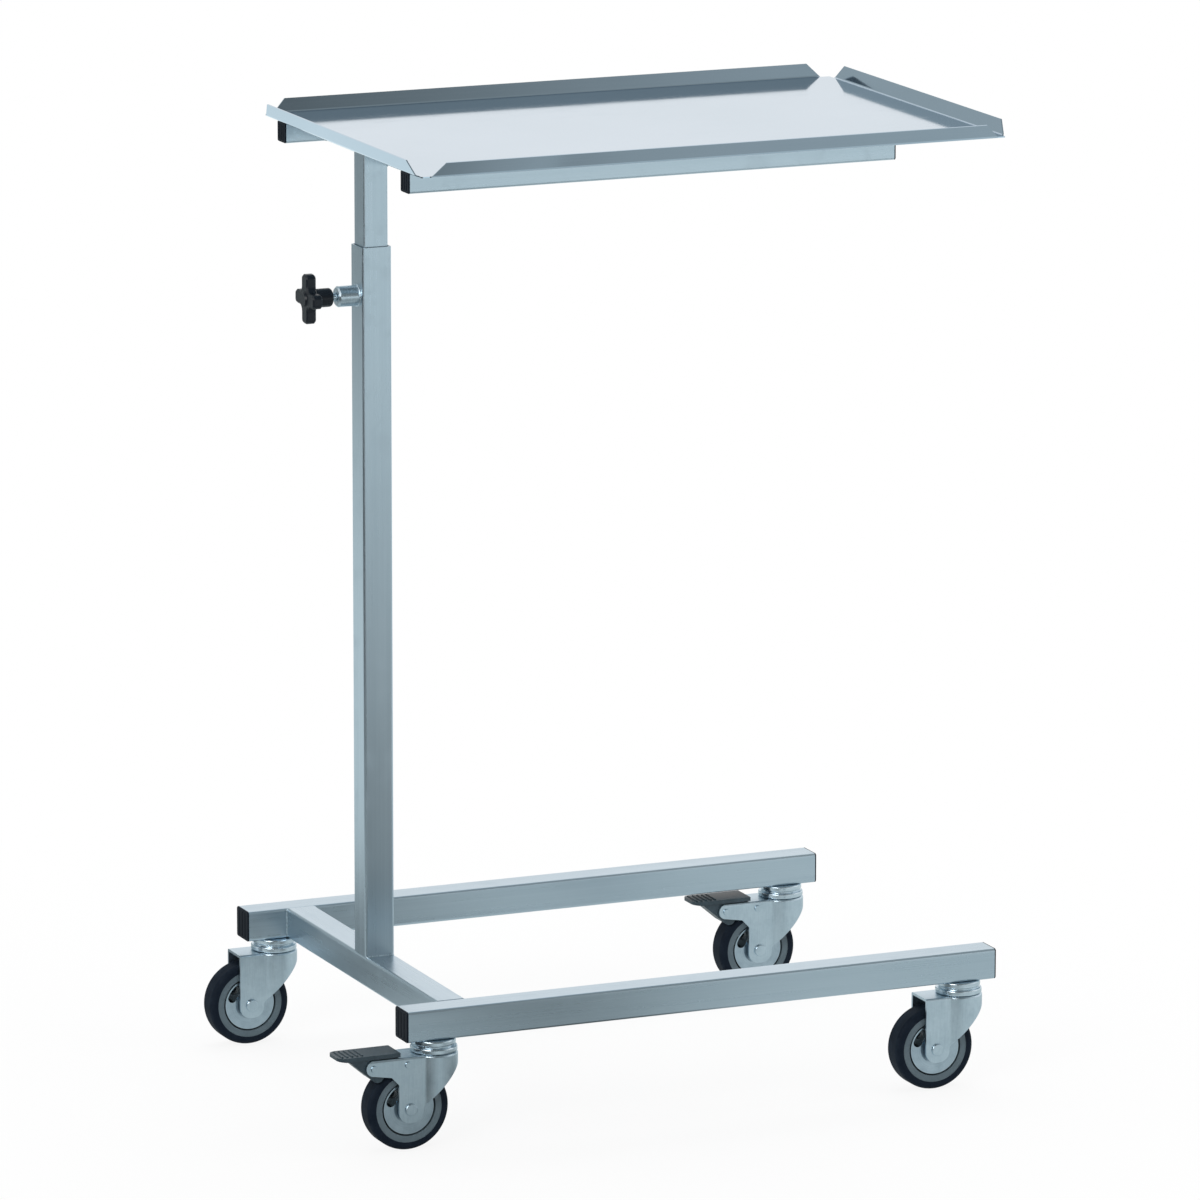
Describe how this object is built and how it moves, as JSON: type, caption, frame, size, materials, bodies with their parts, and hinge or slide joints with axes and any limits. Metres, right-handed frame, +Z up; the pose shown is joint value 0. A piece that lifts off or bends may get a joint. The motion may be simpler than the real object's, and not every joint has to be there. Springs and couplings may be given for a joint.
{
  "type": "mayo instrument stand",
  "caption": "Wheeled instrument stand: shallow flanged tray on a height-adjustable offset column, over a U-shaped base on swivel castors.",
  "frame": {"origin": "on the floor, under the middle of the stand's overall box at rest", "axes": "+X along the base's legs from the column towards the open end under the tray, +Y across the legs, +Z up"},
  "size_m": [0.7026, 0.462, 0.9392],
  "materials": {
    "brushed_tube": "brushed stainless tube",
    "tray_steel": "fine satin stainless sheet",
    "turned_steel": "turned steel",
    "zinc_steel": "bright zinc plate",
    "black_plastic": "moulded, matt",
    "pad_plastic": "moulded nylon, matt",
    "knob_plastic": "moulded, soft sheen",
    "rim_plastic": "moulded grey, matt",
    "tyre_rubber": "matt black tread",
    "pedal_plastic": "moulded dark grey, matt"
  },
  "bodies": {
    "base": {"base_leg_front": "brushed_tube", "base_leg_back": "brushed_tube", "base_cross_tube": "brushed_tube", "leg_cap_front_left": "black_plastic", "leg_cap_front_right": "black_plastic", "leg_cap_back_left": "black_plastic", "leg_cap_back_right": "black_plastic", "column_tube": "brushed_tube", "column_liner": "black_plastic", "clamp_boss": "turned_steel", "stem_front_left": "zinc_steel", "stem_front_right": "zinc_steel", "stem_back_left": "zinc_steel", "stem_back_right": "zinc_steel", "head_front_left": "zinc_steel", "head_front_right": "zinc_steel", "head_back_left": "zinc_steel", "head_back_right": "zinc_steel"},
    "mast": {"mast_tube": "brushed_tube", "mast_glide": "black_plastic", "tray_cross_tube": "brushed_tube", "rail_front": "brushed_tube", "rail_back": "brushed_tube", "rail_cap_front_left": "black_plastic", "rail_cap_front_right": "black_plastic", "rail_cap_back_left": "black_plastic", "rail_cap_back_right": "black_plastic", "tray": "tray_steel"},
    "pad": {"clamp_pad": "pad_plastic"},
    "knob": {"clamp_knob": "knob_plastic", "clamp_screw": "turned_steel"},
    "fork_front_left": {"fork_front_left": "zinc_steel", "axle_front_left": "zinc_steel", "guards_front_left": "zinc_steel", "pins_front_left": "zinc_steel"},
    "wheel_front_left": {"rim_front_left": "rim_plastic", "tyre_front_left": "tyre_rubber"},
    "pedal_front_left": {"pedal_front_left": "pedal_plastic"},
    "fork_front_right": {"fork_front_right": "zinc_steel", "axle_front_right": "zinc_steel", "guards_front_right": "zinc_steel"},
    "wheel_front_right": {"rim_front_right": "rim_plastic", "tyre_front_right": "tyre_rubber"},
    "fork_back_left": {"fork_back_left": "zinc_steel", "axle_back_left": "zinc_steel", "guards_back_left": "zinc_steel"},
    "wheel_back_left": {"rim_back_left": "rim_plastic", "tyre_back_left": "tyre_rubber"},
    "fork_back_right": {"fork_back_right": "zinc_steel", "axle_back_right": "zinc_steel", "guards_back_right": "zinc_steel", "pins_back_right": "zinc_steel"},
    "wheel_back_right": {"rim_back_right": "rim_plastic", "tyre_back_right": "tyre_rubber"},
    "pedal_back_right": {"pedal_back_right": "pedal_plastic"}
  },
  "joints": [
    {"name": "mast_slide", "type": "slide", "parent": "base", "child": "mast", "axis": [0, 0, 1], "range_m": [-0.05, 0.35]},
    {"name": "clamp_slide", "type": "slide", "parent": "base", "child": "pad", "axis": [-1, 0, 0], "range_m": [0, 0.0025]},
    {"name": "clamp_turn", "type": "hinge", "parent": "pad", "child": "knob", "pos_m": [-0.27583, 0, 0.7805], "axis": [-1, 0, 0], "range_deg": [0, 720]},
    {"name": "swivel_front_left", "type": "hinge", "parent": "base", "child": "fork_front_left", "pos_m": [-0.24933, -0.208, 0.092], "axis": [0, 0, 1], "continuous": true},
    {"name": "spin_front_left", "type": "hinge", "parent": "fork_front_left", "child": "wheel_front_left", "pos_m": [-0.27933, -0.208, 0.041], "axis": [0, 1, 0], "continuous": true},
    {"name": "brake_front_left", "type": "hinge", "parent": "fork_front_left", "child": "pedal_front_left", "pos_m": [-0.31683, -0.208, 0.0845], "axis": [0, -1, 0], "range_deg": [0, 10]},
    {"name": "swivel_front_right", "type": "hinge", "parent": "base", "child": "fork_front_right", "pos_m": [0.29967, -0.208, 0.092], "axis": [0, 0, 1], "continuous": true},
    {"name": "spin_front_right", "type": "hinge", "parent": "fork_front_right", "child": "wheel_front_right", "pos_m": [0.26967, -0.208, 0.041], "axis": [0, 1, 0], "continuous": true},
    {"name": "swivel_back_left", "type": "hinge", "parent": "base", "child": "fork_back_left", "pos_m": [-0.24933, 0.208, 0.092], "axis": [0, 0, 1], "continuous": true},
    {"name": "spin_back_left", "type": "hinge", "parent": "fork_back_left", "child": "wheel_back_left", "pos_m": [-0.27933, 0.208, 0.041], "axis": [0, 1, 0], "continuous": true},
    {"name": "swivel_back_right", "type": "hinge", "parent": "base", "child": "fork_back_right", "pos_m": [0.29967, 0.208, 0.092], "axis": [0, 0, 1], "continuous": true},
    {"name": "spin_back_right", "type": "hinge", "parent": "fork_back_right", "child": "wheel_back_right", "pos_m": [0.26967, 0.208, 0.041], "axis": [0, 1, 0], "continuous": true},
    {"name": "brake_back_right", "type": "hinge", "parent": "fork_back_right", "child": "pedal_back_right", "pos_m": [0.23217, 0.208, 0.0845], "axis": [0, -1, 0], "range_deg": [0, 10]}
  ],
  "couplings": [
    {"joint": "clamp_slide", "follows": "clamp_turn", "m_per_rad": 0.00019894}
  ]
}
